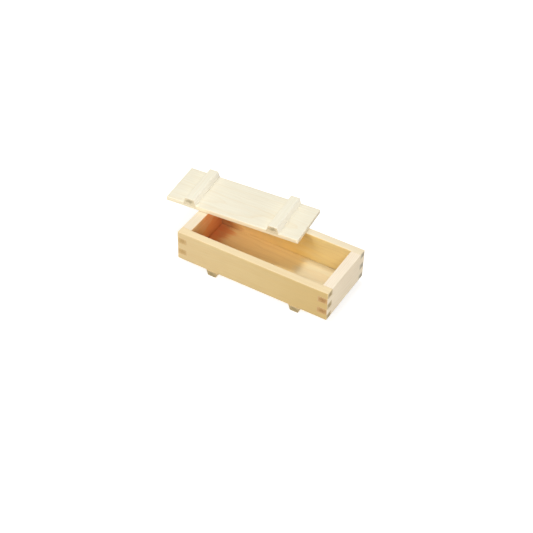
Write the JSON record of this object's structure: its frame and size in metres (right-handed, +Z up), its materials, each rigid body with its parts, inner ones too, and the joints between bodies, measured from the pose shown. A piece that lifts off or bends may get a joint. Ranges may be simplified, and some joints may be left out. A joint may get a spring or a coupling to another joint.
{
  "type": "pressed rice mould box",
  "caption": "Wooden press mould for rice: a bottomless finger-jointed frame stands on a loose base board, and a loose lid with cross battens presses the rice.",
  "frame": {"origin": "centre of the cavity's floor, on the base board's top face, 13.2 mm above the surface that the part stands on", "axes": "+X along the frame's length, to the right as pictured; +Y to the back; +Z up, the way the frame and the lid lift off"},
  "size_m": [0.2976, 0.1424, 0.0737],
  "materials": {
    "frame_wood": "planed, unfinished",
    "base_wood": "planed, unfinished",
    "lid_wood": "planed, unfinished"
  },
  "bodies": {
    "base": {"base_board": "base_wood", "base_batten_left": "base_wood", "base_batten_right": "base_wood"},
    "frame": {"front_wall": "frame_wood", "back_wall": "frame_wood", "left_end_wall": "frame_wood", "right_end_wall": "frame_wood"},
    "lid": {"lid_board": "lid_wood", "lid_batten_left": "lid_wood", "lid_batten_right": "lid_wood"}
  },
  "joints": [
    {"name": "frame_lift", "type": "slide", "parent": "base", "child": "frame", "axis": [0, 0, 1], "range_m": [0, 0.06]},
    {"name": "lid_lift", "type": "slide", "parent": "frame", "child": "lid", "axis": [0, 0, 1], "range_m": [0, 0.06]}
  ]
}
